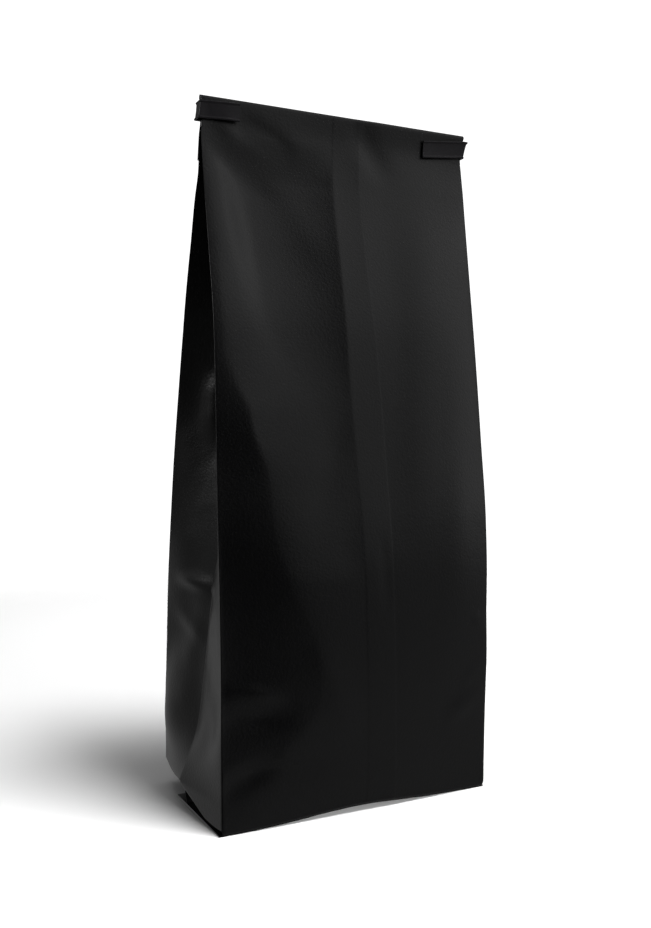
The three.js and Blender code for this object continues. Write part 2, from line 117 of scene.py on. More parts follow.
# How far the near panel leans in at its left and right creases, and where that starts.
LEFT_FALL = [(0, 0.03), (60, 1.07), (120, 0.83), (180, 0.17), (240, -0.12), (300, -0.31)]
LEFT_FALL_START = -30.0
RIGHT_FALL = [(0, 0.52), (60, -0.79), (120, -1.18), (180, -2.3), (240, -2.38), (300, 0.05)]
RIGHT_FALL_START = 20.0
FALL_END = 67.0

# The base: a near strip, and a far strip that laps over it, under the raised gussets.
STRIP_THICKNESS = 0.6
STRIP_LAP = 0.4  # how far the body lies above the strips' undersides
STRIP_INSET = 0.2
STRIP_HALF_WIDTH = 67.5
FAR_STRIP_TAPER = 9.0  # how much the far strip narrows at each side towards its far end
FIN_TIP_Y = 14.3
FAR_STRIP_START_Y = 0.6
BASE_ARCH = 2.7  # how high the near bottom fold arches up in its middle
BASE_ARCH_WIDTH = 34.0
BASE_ARCH_REACH = 20.0
NEAR_CORNER_LIFT = 0.25
FAR_FOLD_LIFT = 4.0  # of the far bottom fold, in its middle
FAR_CORNER_LIFT = 12.0
FAR_CURVE = 2.4
CORNER_CURVE = 4
POCKET_REACH = 38.0  # how far the corner pockets reach in at the gussets' middle folds
LEAST_POCKET = 0.01  # and at the creases, where there is none
LIFT_FADE = 60.0  # height over which the foot's lifts fade out
FOLD_TURN = 0.8  # how far the bottom folds round inwards
# Height of a gusset's lower edge, by share.
GUSSET_FOOT = [(0, 2.8), (0.11, 2.6), (0.36, 3.4), (0.5, 5.2), (0.7, 8.5),
               (0.785, 9.9), (0.93, 12.3), (1, 13.2), (1.3, 11.9), (1.6, 11.4), (2, 12.4)]

TIE_HEIGHT = 8.0
TIE_WIRE = 1.1
TIE_WEB = 0.45
TIE_FACE_HEIGHT = 1.9  # the part of its section next to each edge that has a wire in it
TIE_GAP = 0.35  # between the tie and the bag
TIE_LEFT_SLACK = 0.25  # how much further the bends stand off the bag's edges,
TIE_RIGHT_SLACK = 0.35
TIE_LEFT_LEAN = -0.15  # and how much of that each millimetre of height adds
TIE_RIGHT_LEAN = 0.14
TIE_BEND_INSET = 2.0  # the bends start this far inside the edges
TIE_BEND_SQUARENESS = 0.12  # as for the bag's pressed edges
TIE_LEFT_Z = 307.1  # height of the tie's middle at its two bends
TIE_RIGHT_Z = 306.8
TIE_LEFT_END_X = -49.9  # inner ends of the two tabs
TIE_RIGHT_END_X = 44.7
TIE_LEFT_RISE = 0.03  # slopes of the tabs towards +X
TIE_RIGHT_RISE = 0.11
TIE_LEFT_LIFT = 1.0  # how far the tabs' inner ends stand off the panel
TIE_RIGHT_LIFT = 0.2

# Gentle unevenness: height, seed, wavelength across, wavelength up.
NEAR_WAVES = (0.12, 11, 45, 80)
FAR_WAVES = (0.25, 23, 50, 70)
GUSSET_WAVES = (0.25, 31, 30, 45)  # the two gussets take the seeds before and after this one
FLAP_WAVES = (0.4, 5, 60, 60)  # its height is a share of FLAP_STAND
WAVE_COUNT = 9

# Dents and ridges pressed into the near panel: start, end, half width, depth (inwards).
NEAR_FURROWS = [
    ((-51, 303.8), (-25.3, 293.1), 5.3, 1.62),
    ((-69, 300.3), (-37, 272.9), 5.5, 1.6),
    ((6.1, 316.4), (24.8, 285.8), 6.4, 0.94),
    ((7.3, 121.6), (9.2, 89.6), 3.1, 0.31),
    ((52, 51), (69, 64.2), 3.6, -0.4),
    ((59.2, 83.1), (66.9, 77.4), 3.7, -0.7),
    ((-72.5, 61.7), (-41.8, 57.5), 4, -1.23),
    ((-74.8, 49), (-37.3, 47.7), 4.9, 1.04),
    ((-74.5, 17.4), (-43, 28.4), 5.2, 1.36),
    ((-68.1, 5.4), (-64.7, 8.6), 2, -0.57),
    ((27.9, 118.1), (37.9, 272.9), 11.5, -1.63),
    ((47.4, 69.7), (48.6, 278.8), 14.1, -1.57),
    ((-24.9, 76.6), (-7.7, 40.2), 6.5, -0.42),
    ((-44.8, 23.3), (0, 19.4), 5.9, 0.14),
    ((-12.5, 171.4), (-24.1, 126.9), 8.1, 0.58),
    ((-63.9, 285), (-44.6, 203.7), 8.9, -0.99),
    ((-40.4, 297.8), (-9.1, 238.6), 8, -0.29),
    ((45, 38), (72, 50), 5, -1),
]
FURROW_STARTS = (-0.2, 0.3)  # shares of its length over which a furrow fades in
FURROW_ENDS = (0.6, 1.2)  # and out
PANEL_CALM_POWER = 8  # how narrowly the panels' dents die out at their creases
GUSSET_CALM_POWER = 0.7

# Soft folds of the gussets: start, end, half width, height outwards. The first coordinate
# runs from the near crease (0) over the middle fold (40) to the far crease (80).
GUSSET_FOLDS = [
    ((61.3, 194.7), (60, 168.1), 5.6, 3.61),
    ((75.4, 171.7), (70.9, 147.3), 6.1, 1.46),
    ((46.4, 169.5), (67.8, 150), 4.6, -0.45),
    ((45.5, 138.2), (63.5, 134.5), 3.9, 0.27),
    ((57.4, 121.4), (81.4, 117), 4, 0.25),
    ((25.6, 99.2), (66.9, 101.4), 3.4, 3.05),
    ((40.3, 76.5), (70, 84.9), 4.6, 1.15),
    ((44.6, 76.4), (93.1, 40.9), 12, 2.73),
    ((45, 60.2), (91.1, 18.6), 13.9, 3.36),
    ((14, 80.2), (26.6, 47.8), 6.6, 0.43),
    ((3.7, 51.7), (45.6, 3.2), 9.1, -1.12),
    ((21.7, 92), (37.3, 59.5), 7.7, 1.56),
    ((52, 129.1), (63.3, 32.6), 10.9, -0.92),
    ((47, 189.3), (64.8, 126.1), 4.4, -0.72),
]
GUSSET_SPAN = 40.0
# How far the two halves of a gusset bow out, up the bag, on top of GUSSET_BOW.
NEAR_HALF_BOW = [(4, 0), (20, 0.2), (60, -1.16), (100, -1.19), (140, 0.22), (180, -0.01), (235, 0)]
FAR_HALF_BOW = [(4, 0), (20, 1.92), (60, -3.23), (100, 0.03), (140, -1.12), (180, -2.93), (235, 0)]

# The deepest dent that the layers behind the panel leave room for, by height.
DENT_LIMIT = [(0, 10), (240, 10), (254, 9), (271, 6), (282, 3.2), (290, 1.6), (299, 0.5), (313, 0.5)]
PLEAT_PUSH = (200.0, 250.0)  # above these heights the folded-in gussets follow the near panel
GUSSET_CALM = (12.0, 42.0)  # heights over which the gussets' folds and bows grow from nothing

# Camera of the photograph.
CAMERA_PLACE = (-212.14, -431.67, 167.21)
CAMERA_HEADING = math.radians(26.43)  # from +Y towards +X
CAMERA_DROP = math.radians(1.56)  # below the horizon
FOCAL_PIXELS = 1004.2
LONG_SIDE_PIXELS = 928
SENSOR = 36.0
CLIP_START = 0.01  # metres

# Looks. A noise is (scale, detail), and a roughness runs from the noise's lowest value to its
# highest.
FILM_COLOUR = (0.0005, 0.0005, 0.0006)
FILM_IOR = 1.5
FILM_PATCHES = (28, 4)
FILM_ROUGHNESS = (0.30, 0.38)
FILM_GRAIN = (900, 2)
FILM_GRAIN_HEIGHT = 0.0002  # metres
FILM_GRAIN_STRENGTH = 0.45
TIE_COLOUR = (0.002, 0.0017, 0.0023)
TIE_SPECULAR = 0.4
TIE_GRAIN = (500, 2)
TIE_ROUGHNESS = (0.42, 0.50)
FLOOR_COLOUR = (0.9, 0.9, 0.9)
FLOOR_ROUGHNESS = 0.9
FLOOR_FADE = (0.55, 0.95)  # metres from the bag over which the floor fades into the backdrop

# Lights and surroundings.
ROOM_GLOW = 0.14
BACKDROP_WHITE = 1.2
DARK_SIDE = (-25.0, 0.0, 33.0, 50.0)  # azimuth, elevation, inner and outer angle, in degrees
SOFTBOX_AIM = (0, 0, 0.15)  # metres
# Each softbox: name, azimuth, elevation, distance, size, radiance.
MIRRORED_SOFTBOXES = [
    ("panel_light", 38.7, 50.6, 1.1, (0.84, 1.03), 0.44),
    ("low_light", 30, 12.5, 1.1, (0.99, 0.55), 0.21),
    ("floor_glow", 30, -32, 1.1, (1.4, 0.6), 0.07),
    ("right_light", 66, 20, 1.1, (0.45, 1.0), 0.51),
    ("edge_light", -76.4, 32.1, 1.1, (0.74, 0.68), 3.55),
    ("back_light", 200.4, -5.3, 1.2, (1.17, 1.46), 0.17),
    ("rear_light", 148, 40, 1.3, (1.0, 1.0), 0.55),
]
FLOOR_SOFTBOXES = [
    ("key_light", 29, 61, 3.0, (1.35, 0.95), 26.0),
    ("floor_light", 25, 12, 3.0, (2.5, 0.6), 24.0),
    ("top_light", 80, 85, 1.5, (1.35, 1.35), 0.6),
]

# ---------------------------------------------------------------- mesh fineness

PANEL_COLUMNS = (70, 2, 14, 3, 54)  # left part, seam edge, seam, seam edge, right part
GUSSET_COLUMNS = 26  # on each half of a gusset
BEND_POINTS = 5  # round a crease
FOOT_LEVELS = (0, 0.25, 0.6, 1.1, 1.8)  # rows round the bottom folds
BODY_ROWS_START = 2.7
ROW_STEP = 1.6
SHUT_STEP = 0.5  # from the open pleats to the pressed rows above them
TOP_ROWS_END = 2.2  # below the top fold
TOP_ARC_DEGREES = (0, 15, 30, 45, 58, 70, 80)
FLAP_ARC_DEGREES = (78, 62, 46, 30, 15)
FLAP_ROW_STEP = 0.95
SHEET_COLUMNS = 120
STRIP_ROWS = 44
TIE_TAB_STEPS = 18
TIE_BEND_STEPS = 22
TIE_BACK_STEPS = 90
TIE_FACE_POINTS = 8
TIE_WIRE_DEGREES = (25, 45, 62, 76)
FLOOR_CORNERS = 64
SHARP_DEGREES = 38
TIE_SHARP_DEGREES = 50


# ---------------------------------------------------------------- small maths

def profile(stations):
    """A smooth curve through (height, value) stations that never overshoots them."""
    heights, values = np.array(stations, float).T
    steps = np.diff(values) / np.diff(heights)
    before, after = steps[:-1], steps[1:]
    same_way = before * after > 0
    total = np.where(same_way, before + after, 1)
    inner = np.where(same_way, 2 * before * after / total, 0)
    tangents = np.concatenate([steps[:1], inner, steps[-1:]])

    def at(z):
        z = np.clip(z, heights[0], heights[-1])
        i = np.clip(np.searchsorted(heights, z, side="right") - 1, 0, len(heights) - 2)
        span = heights[i + 1] - heights[i]
        t = (z - heights[i]) / span
        change = values[i + 1] - values[i]
        rise, run = tangents[i] * span, tangents[i + 1] * span
        return values[i] + t * (rise + t * (3 * change - 2 * rise - run
                                            + t * (rise + run - 2 * change)))
    return at


def blend(a, b, share):
    return a + (b - a) * share


def smooth(low, high, value):
    t = np.clip((value - low) / (high - low), 0, 1)
    return t * t * (3 - 2 * t)


def arch(t):
    """0 at both ends of a run from 0 to 1, and 1 in its middle."""
    return 4 * t * (1 - t)


def soft_min(a, b, softness, sharpness):
    """The smaller of two values, with the corner where they cross rounded off."""
    gap = np.abs(a - b)
    return np.minimum(a, b) - softness * np.log1p(np.exp(-gap / softness)) / sharpness


left_reach = profile(LEFT_REACH)
right_reach = profile(RIGHT_REACH)
near_left_y = profile(NEAR_LEFT_Y)
near_right_y = profile(NEAR_RIGHT_Y)
mouth_gap = profile(MOUTH_GAP)
pleat_depth = profile(PLEAT_DEPTH)
belly = profile(BELLY)
knee_x = profile(KNEE_X)
knee_steepness = profile(KNEE_STEEPNESS)
seam_left_x = profile(SEAM_LEFT_X)
seam_right_x = profile(SEAM_RIGHT_X)
seam_fall = profile(SEAM_FALL)
valley_depth = profile(VALLEY_DEPTH)
valley_x = profile(VALLEY_X)
left_fall = profile(LEFT_FALL)
right_fall = profile(RIGHT_FALL)
dent_limit = profile(DENT_LIMIT)
near_half_bow = profile(NEAR_HALF_BOW)
far_half_bow = profile(FAR_HALF_BOW)
gusset_foot = profile(GUSSET_FOOT)


def waves(x, z, height, seed, length_x, length_z):
    """Gentle seeded unevenness, about -height to height, with the given wavelengths."""
    random = np.random.RandomState(seed)
    total = np.zeros(np.broadcast(x, z).shape)
    for _ in range(WAVE_COUNT):
        turn_x = random.uniform(-1, 1) / length_x
        turn_z = random.uniform(-1, 1) / length_z
        phase = random.uniform(0, 1)
        total = total + np.sin(2 * np.pi * (x * turn_x + z * turn_z + phase))
    return height * (total / math.sqrt(WAVE_COUNT))


def furrow(x, z, start, end, width, depth):
    """A straight dent from start to end, fading out at both ends."""
    (x0, z0), (x1, z1) = start, end
    length = math.hypot(x1 - x0, z1 - z0)
    along = ((x - x0) * (x1 - x0) + (z - z0) * (z1 - z0)) / length ** 2
    across = ((x - x0) * (z1 - z0) - (z - z0) * (x1 - x0)) / length
    ends = smooth(*FURROW_STARTS, along) * (1 - smooth(*FURROW_ENDS, along))
    return depth * ends * np.exp(-((across / width) ** 2))


# ---------------------------------------------------------------- surfaces of the bag

def reach(x, z):
    return np.where(x < 0, left_reach(z), right_reach(z))


def edge_y(x, z):
    left, right = left_reach(z), right_reach(z)
    return blend(near_left_y(z), near_right_y(z), (x + left) / (left + right))


def dome(x, z):
    return 1 - np.minimum(1, (x / reach(x, z)) ** 2)


def near_crown(x, z):
    """The belly of the near panel, flatter right of the knee and steeper left of it."""
    share = np.clip(1 + x / left_reach(z), 0, 1)
    knee = np.clip(1 + knee_x(z) / left_reach(z), 0, 1)
    ramp = knee_steepness(z) * share
    arc_at_knee = 1 - (1 - knee) ** PLATEAU_FLATNESS
    start = np.maximum(0, (knee_steepness(z) * knee - arc_at_knee) / (1 - arc_at_knee))
    arc = start + (1 - start) * (1 - (1 - share) ** PLATEAU_FLATNESS)
    kneed = np.clip(soft_min(ramp, arc, KNEE_SOFTNESS, KNEE_SHARPNESS), 0, 1)
    presence = smooth(0, KNEE_APPEARS, knee)
    left_side = blend(dome(x, z), kneed, presence)
    return belly(z) * np.where(x < 0, left_side, dome(x, z))


def seam_relief(x, z):
    left, right = seam_left_x(z), seam_right_x(z)
    inside = np.minimum(x - left, right - x)
    across = np.clip((x - left) / (right - left), 0, 1) ** 2
    beyond = np.exp(-np.maximum(0, x - right) / SEAM_FALL_REACH)
    return SEAM_STEP * smooth(0, SEAM_SIDE, inside) - seam_fall(z) * across * beyond


def valley_relief(x, z):
    """Inwards from the left crease, gently, then out again to the seam's left edge."""
    bottom = valley_x(z)
    before = smooth(-left_reach(z), bottom, x)
    after = 1 - np.clip((x - bottom) / (seam_left_x(z) - bottom), 0, 1) ** 2
    return -valley_depth(z) * np.where(x < bottom, before, after)


def side_relief(x, z):
    """Inwards towards the left and right creases."""
    left = np.clip((LEFT_FALL_START - x) / (FALL_END + LEFT_FALL_START), 0, 1)
    right = np.clip((x - RIGHT_FALL_START) / (FALL_END - RIGHT_FALL_START), 0, 1)
    return -left_fall(z) * left ** 2 - right_fall(z) * right ** 2


def off_edges(x, z):
    """1 over a panel, dying out to 0 at its creases."""
    return 1 - np.minimum(1, np.abs(x / reach(x, z))) ** PANEL_CALM_POWER


def near_relief(x, z):
    """Height of the near panel's unevenness, outwards."""
    relief = seam_relief(x, z) + valley_relief(x, z) + side_relief(x, z) + waves(x, z, *NEAR_WAVES)
    for dent in NEAR_FURROWS:
        relief = relief - furrow(x, z, *dent)
    limit = dent_limit(z)
    relief = np.where(relief < 0, limit * np.tanh(relief / limit), relief)
    return off_edges(x, z) * relief


def far_relief(x, z):
    return off_edges(x, z) * waves(x, z, *FAR_WAVES)


def share_to_fold(share):
    """0 at either crease of a gusset and 1 at its middle fold."""
    return np.where(share <= 1, share, 2 - share)


def gusset_relief(side, share, z):
    """Height of a gusset's unevenness, outwards."""
    along = GUSSET_SPAN * share
    height, seed, *lengths = GUSSET_WAVES
    folds = waves(along, z, height, seed + side, *lengths)
    for fold in GUSSET_FOLDS:
        folds = folds + furrow(along, z, *fold)
    off_creases = np.abs(np.sin(np.pi * share)) ** GUSSET_CALM_POWER
    bow = np.where(share <= 1, near_half_bow(z), far_half_bow(z))
    return smooth(*GUSSET_CALM, z) * (off_creases * folds + arch(share_to_fold(share)) * bow)


def far_swell(z):
    """The rounded top fold stands out on the far side by the flap's thickness."""
    return FLAP_OFFSET * smooth(*TOP_SWELL, z)


def near_y(x, z):
    return edge_y(x, z) - NEAR_BULGE * near_crown(x, z) - near_relief(x, z)


def far_y(x, z):
    bulge = FAR_BULGE * belly(z) * dome(x, z)
    return edge_y(x, z) + mouth_gap(z) + bulge + far_relief(x, z) + far_swell(z)


def gusset_place(side, share, z):
    """Plan position of a gusset column, where the pleats stand open."""
    edge = side * reach(side, z)
    near = edge_y(edge, z)
    depth = mouth_gap(z)
    openness = depth / MOUTH_GAP[0][1]
    to_fold = share_to_fold(share)
    bow = GUSSET_BOW * openness ** 2 * arch(to_fold) * smooth(*GUSSET_CALM, z)
    fold_y = near + depth / 2 + PLEAT_MIDDLE_SHIFT * openness
    y = np.where(share <= 1, blend(near, fold_y, share), blend(fold_y, near + depth, share - 1))
    stand = bow + gusset_relief(side, share, z) * openness
    x = edge - side * (pleat_depth(z) * to_fold - stand)
    pushed = np.maximum(0, -near_relief(x, z)) * (1 - share / 2) + edge_y(x, z) - near
    return x, y + pushed * smooth(*PLEAT_PUSH, z)


def shut_edge_place(side, share, z):
    """Plan position round a pressed side edge, above the pleats."""
    edge = side * reach(side, z)
    depth = mouth_gap(z) + far_swell(z)
    out = EDGE_ROUND * (np.sin(share * np.pi / 2) ** EDGE_SQUARENESS - 1)
    return edge + side * out, edge_y(edge, z) + depth * share / 2


# ---------------------------------------------------------------- the foot of the bag

def near_fold_lift(x):
    return NEAR_CORNER_LIFT + BASE_ARCH * np.exp(-((x / BASE_ARCH_WIDTH) ** 2))


def far_fold_lift(x):
    return blend(FAR_FOLD_LIFT, FAR_CORNER_LIFT, np.abs(x / reach(x, 0)) ** CORNER_CURVE)


def near_strip_z(x, y):
    fold = near_y(x, 0)
    return near_fold_lift(x) * (1 - smooth(fold, fold + BASE_ARCH_REACH, y))


def far_strip_z(x, y):
    share = np.clip((y - FAR_STRIP_START_Y) / (far_y(x, 0) - FAR_STRIP_START_Y), 0, 1)
    return blend(STRIP_THICKNESS - STRIP_LAP / 2, far_fold_lift(x), share ** FAR_CURVE)


def underside_z(x, y, share):
    """The body's underside: on the strips in the middle, raised over the corner pockets."""
    rest = np.where(share <= 1, near_strip_z(x, y), far_strip_z(x, y)) + STRIP_LAP
    pocket = np.maximum(POCKET_REACH * share_to_fold(share), LEAST_POCKET)
    opening = np.clip(1 - (reach(x, 0) - np.abs(x)) / pocket, 0, 1)
    return blend(rest, gusset_foot(share), opening)


# ---------------------------------------------------------------- meshes

def add_mesh(name, points, faces, material, sharp_degrees=SHARP_DEGREES):
    mesh = bpy.data.meshes.new(name)
    mesh.from_pydata((np.asarray(points) * MM).tolist(), [], faces)
    mesh.validate()
    mesh.shade_smooth()
    mesh.set_sharp_from_angle(angle=math.radians(sharp_degrees))
    mesh.materials.append(material)
    piece = bpy.data.objects.new(name, mesh)
    bpy.context.scene.collection.objects.link(piece)
    return piece


def quads(a, b, c, d):
    return np.stack([np.ravel(v) for v in (a, b, c, d)], 1).tolist()


def band_faces(rings, size):
    """Quads between closed rings of points, each ring above the last."""
    low = (np.arange(rings - 1) * size)[:, None] + np.arange(size)[None, :]
    after = (np.arange(rings - 1) * size)[:, None] + (np.arange(size)[None, :] + 1) % size
    return quads(low, after, after + size, low + size)


def sheet_mesh(name, inner, outer, material):
    """A closed thin sheet between two grids of points with the same shape."""
    rows, columns = inner.shape[:2]
    points = np.concatenate([inner.reshape(-1, 3), outer.reshape(-1, 3)])
    count = rows * columns
    at = np.arange(count).reshape(rows, columns)
    a, b, c, d = at[:-1, :-1], at[:-1, 1:], at[1:, 1:], at[1:, :-1]
    faces = quads(a, d, c, b) + quads(a + count, b + count, c + count, d + count)
    rim = np.concatenate([at[0, :-1], at[:-1, -1], at[-1, :0:-1], at[:0:-1, 0]])
    after = np.roll(rim, -1)
    faces += quads(rim, after, after + count, rim + count)
    return add_mesh(name, points, faces, material)


# ---------------------------------------------------------------- body of the bag

def row_levels():
    body = np.arange(BODY_ROWS_START, PLEAT_SHUT, ROW_STEP)
    shut = np.arange(PLEAT_SHUT + SHUT_STEP, HEIGHT - TOP_ROWS_END, ROW_STEP)
    return np.concatenate([FOOT_LEVELS, body, [PLEAT_SHUT], shut])


def panel_x(levels):
    """x of the panel columns at each level: lined up with the seam, even between."""
    inset = np.where(levels > PLEAT_SHUT, EDGE_ROUND, 0) + CREASE_RADIUS
    left, right = seam_left_x(levels), seam_right_x(levels)
    stops = [inset - left_reach(levels), left, left + SEAM_SIDE, right - SEAM_SIDE, right,
             right_reach(levels) - inset]
    columns = []
    for count, start, end in zip(PANEL_COLUMNS, stops[:-1], stops[1:]):
        columns += [blend(start, end, i / count) for i in range(count)]
    return np.stack(columns + [stops[-1]], 1)


def risen(levels, foot):
    return levels + foot * np.maximum(0, 1 - levels / LIFT_FADE)


def panel_columns(levels, near):
    x = panel_x(levels)
    level = levels[:, None]
    foot = (near_fold_lift(x) if near else far_fold_lift(x)) + STRIP_LAP
    z = risen(level, foot)
    turn = FOLD_TURN * np.clip(1 - level / FOOT_LEVELS[-1], 0, 1) ** 2
    y = near_y(x, z) + turn if near else far_y(x, z) - turn
    return np.stack([x, y, z], 2)


def gusset_points(levels, side, shares):
    """Columns of a gusset at the given shares round it, as (level, share, xyz)."""
    share = np.asarray(shares)[None, :]
    z = risen(levels[:, None], gusset_foot(share))
    open_x, open_y = gusset_place(side, share, z)
    shut_x, shut_y = shut_edge_place(side, share, z)
    shut = np.broadcast_to(levels[:, None] > PLEAT_SHUT, z.shape)
    return np.stack([np.where(shut, shut_x, open_x), np.where(shut, shut_y, open_y), z], 2)


def rounded(corner, before, after):
    """Columns round a corner column, between the one before it and the one after it."""
    t = (np.arange(BEND_POINTS) + 1)[None, :, None] / (BEND_POINTS + 1)
    corner, before, after = (column[:, None, :] for column in (corner, before, after))
    return (1 - t) ** 2 * before + 2 * t * (1 - t) * corner + t ** 2 * after


def gusset_columns(levels, side):
    """A whole gusset from just past the near crease to just before the far one."""
    gap = CREASE_RADIUS / GUSSET_HALF
    shares = np.linspace(gap, 1 - FOLD_GAP * gap, GUSSET_COLUMNS)
    near_half = gusset_points(levels, side, shares)
    far_half = gusset_points(levels, side, 2 - shares[::-1])
    fold = gusset_points(levels, side, [1.0])[:, 0]
    return np.concatenate([near_half, rounded(fold, near_half[:, -1], far_half[:, 0]), far_half], 1)


def body_rings(levels):
    """Rings round the body, anticlockwise from above, and the places of its four creases."""
    near = panel_columns(levels, True)
    far = panel_columns(levels, False)[:, ::-1]
    right = gusset_columns(levels, 1)
    left = gusset_columns(levels, -1)[:, ::-1]
    parts, creases, count = [], [], 0
    corners = ((1, 0.0, near, right), (1, 2.0, right, far),
               (-1, 2.0, far, left), (-1, 0.0, left, near))
    for side, share, before, after in corners:
        crease = gusset_points(levels, side, [share])[:, 0]
        bend = rounded(crease, before[:, -1], after[:, 0])
        count += before.shape[1]
        creases.append(count + BEND_POINTS // 2)
        count += BEND_POINTS
        parts += [before, bend]
    return np.concatenate(parts, 1), creases


def top_fold_rings():
    """The highest ring, turned over towards the middle of the folded layers."""
    ring, _ = body_rings(np.array([HEIGHT - TOP_RADIUS]))
    x, y, z = ring[0].T
    middle = edge_y(x, z) + (mouth_gap(z) + far_swell(z)) / 2
    rings = []
    for degrees in TOP_ARC_DEGREES:
        angle = math.radians(degrees)
        turned = blend(middle, y, math.cos(angle))
        rings.append(np.stack([x, turned, z + TOP_RADIUS * math.sin(angle)], 1))
    return np.stack(rings)


def coons(rows, columns, near, far, left, right):
    """Points inside a four-sided rim, from its four rows of rim points."""
    s, t = columns[None, :, None], rows[:, None, None]
    across = blend(near[None], far[None], t) + blend(left[:, None], right[:, None], s)
    near_corners = blend(near[:1, None], near[-1:, None], s)
    far_corners = blend(far[:1, None], far[-1:, None], s)
    return across - blend(near_corners, far_corners, t)


def underside(bottom, creases, first_new):
    """Points and faces that close the lowest ring over the strips and corner pockets."""
    size = len(bottom)
    near_right, far_right, far_left, near_left = creases
    across = (near_right - near_left) % size
    along = far_right - near_right
    i, j = np.arange(across + 1), np.arange(along + 1)
    near, far = (near_left + i) % size, (far_left - i) % size
    left, right = (near_left - j) % size, (near_right + j) % size
    points = coons(j / along, i / across, bottom[near], bottom[far], bottom[left], bottom[right])
    share = np.broadcast_to((2 * j / along)[:, None], points.shape[:2])
    points[..., 2] = underside_z(points[..., 0], points[..., 1], share)
    index = np.zeros(points.shape[:2], int)
    index[0], index[-1], index[:, 0], index[:, -1] = near, far, left, right
    inner = np.arange((along - 1) * (across - 1))
    index[1:-1, 1:-1] = first_new + inner.reshape(along - 1, across - 1)
    faces = quads(index[:-1, :-1], index[1:, :-1], index[1:, 1:], index[:-1, 1:])
    return points[1:-1, 1:-1].reshape(-1, 3), faces


def top_lid(last, size, creases):
    """Faces that close the last ring of the top fold across its thickness."""
    near_right, far_right, far_left, near_left = creases
    across = (near_right - near_left) % size
    along = far_right - near_right
    i = np.arange(across)
    near, far = (near_left + i) % size, (far_left - i) % size
    faces = quads(last + near, last + (near + 1) % size, last + (far - 1) % size, last + far)
    for start in (near_right, far_left):
        fan = [last + (start + k) % size for k in range(along + 1)]
        faces += [[fan[0], fan[k], fan[k + 1]] for k in range(1, along)]
    return faces


def build_body(material):
    rings, creases = body_rings(row_levels())
    rings = np.concatenate([rings, top_fold_rings()])
    count, size = rings.shape[:2]
    points = rings.reshape(-1, 3)
    faces = band_faces(count, size) + top_lid((count - 1) * size, size, creases)
    inner, base_faces = underside(rings[0], creases, len(points))
    return add_mesh("pouch_body", np.concatenate([points, inner]), faces + base_faces, material)


# ---------------------------------------------------------------- flap and base strips

def flap_row(level):
    """x and z of the flap's points at one height."""
    z = np.full(SHEET_COLUMNS, level)
    left, right = FLAP_INSET - left_reach(z), right_reach(z) - FLAP_INSET
    return blend(left, right, np.linspace(0, 1, SHEET_COLUMNS)), z


def build_flap(material):
    """The folded-over mouth: a sheet that turns over the top and hangs down the far side."""
    outer, inner = [], []
    for degrees in FLAP_ARC_DEGREES:
        angle = math.radians(degrees)
        x, z = flap_row(HEIGHT - TOP_RADIUS)
        centre = edge_y(x, z) + TOP_RADIUS
        for grid, arm in ((outer, TOP_RADIUS + FLAP_SKIN), (inner, TOP_RADIUS - FLAP_SHEET)):
            grid.append(np.stack([x, centre + arm * math.cos(angle), z + arm * math.sin(angle)], 1))
    for level in np.arange(HEIGHT - TOP_RADIUS, FLAP_FOOT, -FLAP_ROW_STEP):
        x, z = flap_row(level)
        loose = 1 - smooth(FLAP_FOOT, FLAP_FOOT + FLAP_STAND_RISE, z)
        stand = FLAP_STAND * loose * (1 + waves(x, z, *FLAP_WAVES))
        face = edge_y(x, z) + mouth_gap(z) + FLAP_OFFSET + FLAP_SKIN + stand
        outer.append(np.stack([x, face, z], 1))
        inner.append(np.stack([x, face - FLAP_SHEET, z], 1))
    return sheet_mesh("pouch_flap", np.array(inner), np.array(outer), material)


def build_strip(name, start_y, end_y, height, taper, material):
    """A strip of the base between two curves, at a height given for each x and y."""
    inner, outer = [], []
    for v in np.linspace(0, 1, STRIP_ROWS):
        x = (STRIP_HALF_WIDTH - taper * v) * np.linspace(-1, 1, SHEET_COLUMNS)
        held = np.clip(x, -left_reach(0), right_reach(0))
        y = blend(start_y(held), end_y(held), v)
        z = height(held, y)
        inner.append(np.stack([x, y, z], 1))
        outer.append(np.stack([x, y, z + STRIP_THICKNESS], 1))
    return sheet_mesh(name, np.array(inner), np.array(outer), material)


def build_near_strip(material):
    return build_strip("base_near_strip",
                       lambda x: near_y(x, 0) + STRIP_INSET + FOLD_TURN,
                       lambda x: np.full(x.shape, FIN_TIP_Y),
                       lambda x, y: np.maximum(0, near_strip_z(x, y) - NEAR_CORNER_LIFT), 0, material)


def build_far_strip(material):
    return build_strip("base_far_strip",
                       lambda x: np.full(x.shape, FAR_STRIP_START_Y),
                       lambda x: far_y(x, 0) - STRIP_INSET - FOLD_TURN, far_strip_z,
                       FAR_STRIP_TAPER, material)


# ---------------------------------------------------------------- tin tie

def bend_start(side, z):
    """x at which the tie's bend round one edge of the bag starts and ends."""
    return float(side * (reach(side, z) - TIE_BEND_INSET))


def tie_tab(end_x, side, z, rise, end_lift):
    """Stations from a tab's inner end out to its bend."""
    places = []
    for i in range(TIE_TAB_STEPS):
        share = i / TIE_TAB_STEPS
        x = blend(end_x, bend_start(side, z), share)
        lift = end_lift * (1 - share ** 2)
        places.append((x, 0, float(z + rise * (x - side * reach(side, z))), 0.0, lift))
    return places


def tie_bend(side, z, start, end):
    return [(None, side, z, blend(start, end, i / TIE_BEND_STEPS), 0.0)
            for i in range(TIE_BEND_STEPS + 1)]


def tie_back():
    """Stations across the far side, from left to right."""
    left, right = bend_start(-1, TIE_LEFT_Z), bend_start(1, TIE_RIGHT_Z)
    shares = [i / TIE_BACK_STEPS for i in range(1, TIE_BACK_STEPS)]
    return [(blend(left, right, share), 0, blend(TIE_LEFT_Z, TIE_RIGHT_Z, share), 1.0, 0.0)
            for share in shares]


